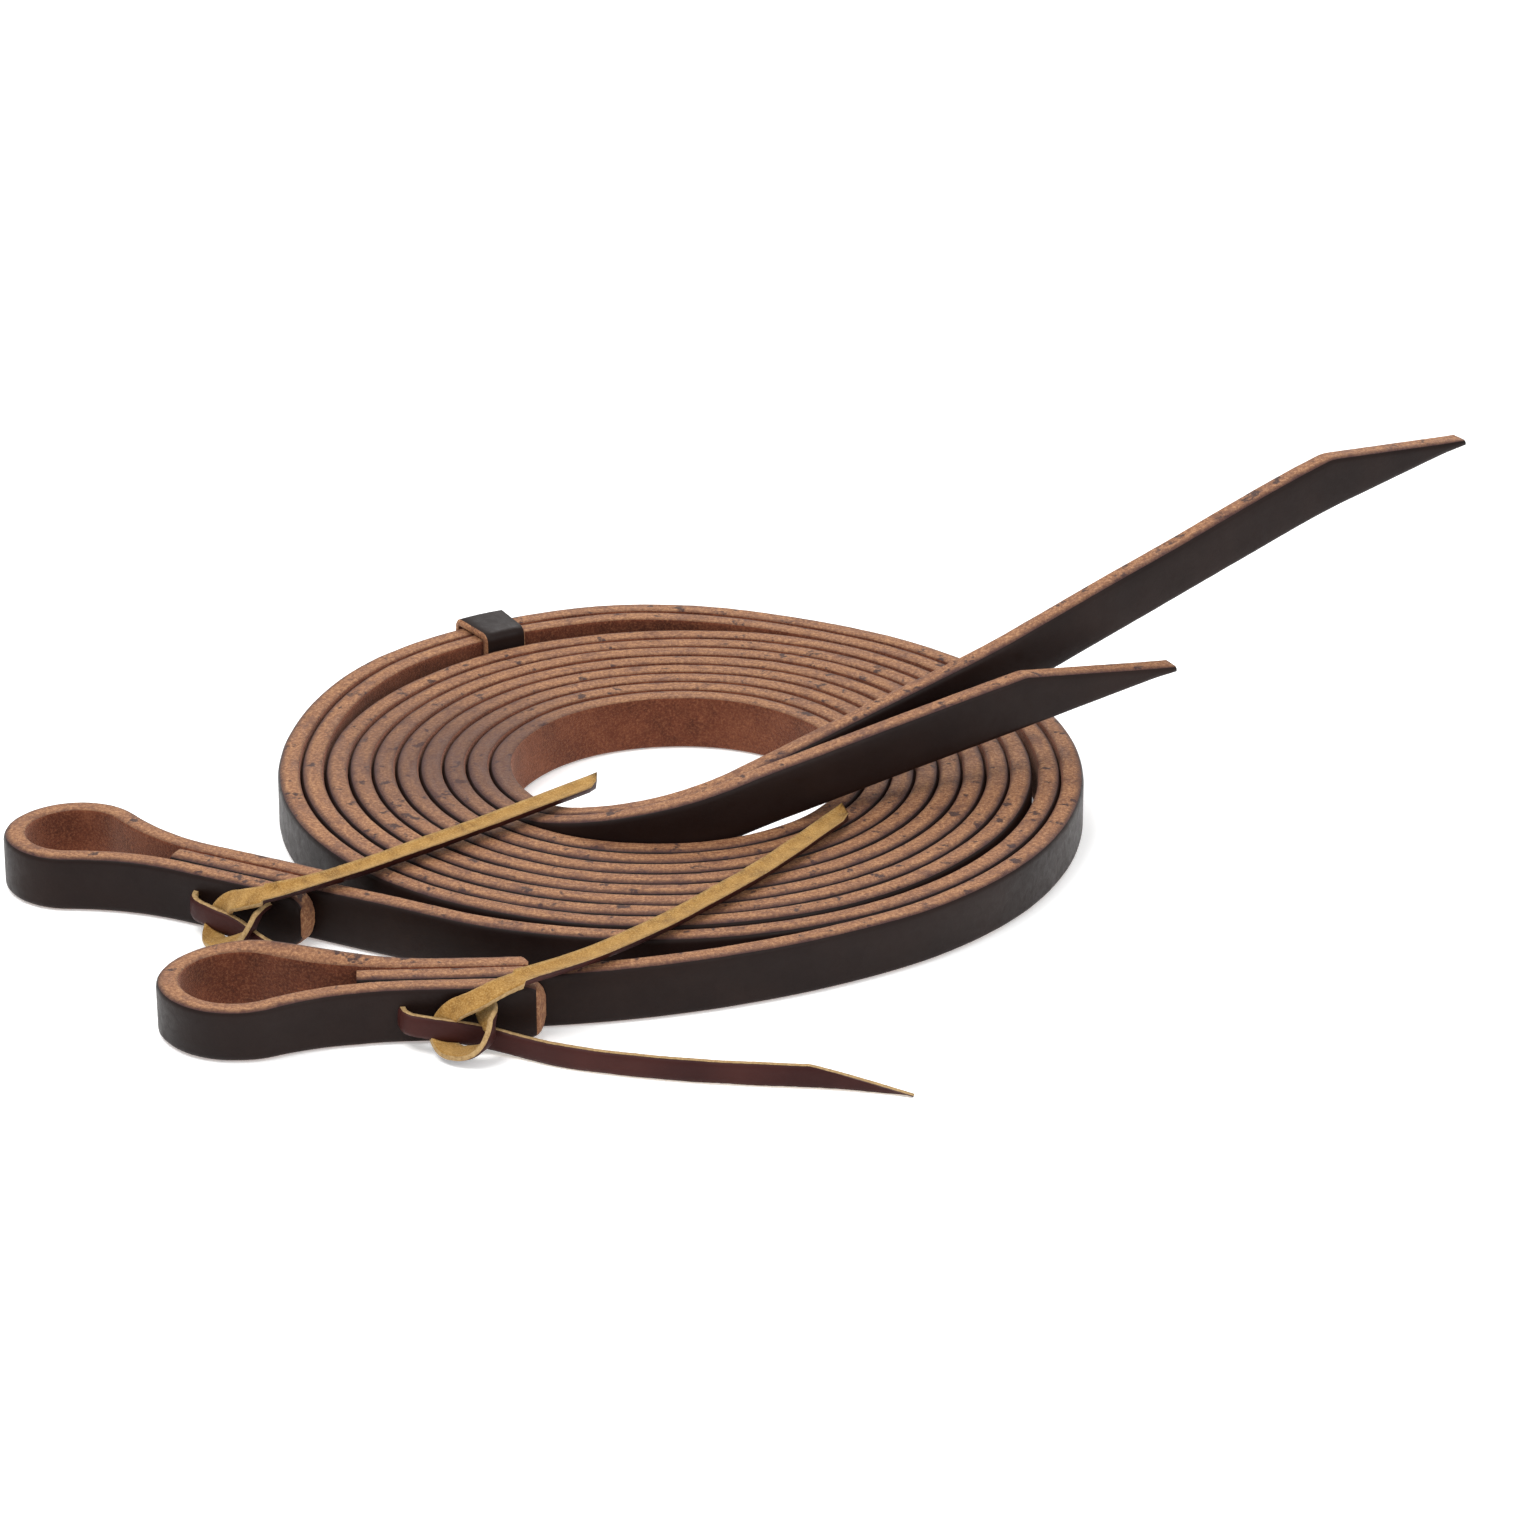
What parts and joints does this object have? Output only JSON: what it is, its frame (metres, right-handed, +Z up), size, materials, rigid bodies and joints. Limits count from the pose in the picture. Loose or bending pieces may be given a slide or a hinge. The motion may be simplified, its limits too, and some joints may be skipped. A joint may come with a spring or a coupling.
{
  "type": "leather split reins",
  "caption": "Pair of leather split reins coiled flat on edge, with folded bit loops tied by leather laces, a sliding keeper and pointed tail ends.",
  "frame": {"origin": "on the floor at the centre of the coil's eye", "axes": "+X to the right along the front of the coil, towards the raised tail ends; +Y from the front of the coil, where the water loops are, to the back; +Z up"},
  "size_m": [0.331, 0.2328, 0.0643],
  "materials": {
    "strap_leather": "oiled dark brown grain side, tan cut edges and red-brown suede flesh side",
    "keeper_leather": "smooth near-black leather with a tan cut edge",
    "lace_leather": "latigo lace, yellow-tan suede on one side and burgundy grain on the other"
  },
  "bodies": {
    "coil": {"rein_near": "strap_leather", "rein_far": "strap_leather", "water_loop_near": "strap_leather", "water_loop_far": "strap_leather", "lace_near": "lace_leather", "lace_far": "lace_leather"},
    "keeper": {"keeper": "keeper_leather"}
  },
  "joints": [
    {"name": "keeper_slide", "type": "hinge", "parent": "coil", "child": "keeper", "pos_m": [0.00146, 0.00086, 0], "axis": [0, 0, 1], "range_deg": [-7.9, 7.9]}
  ]
}
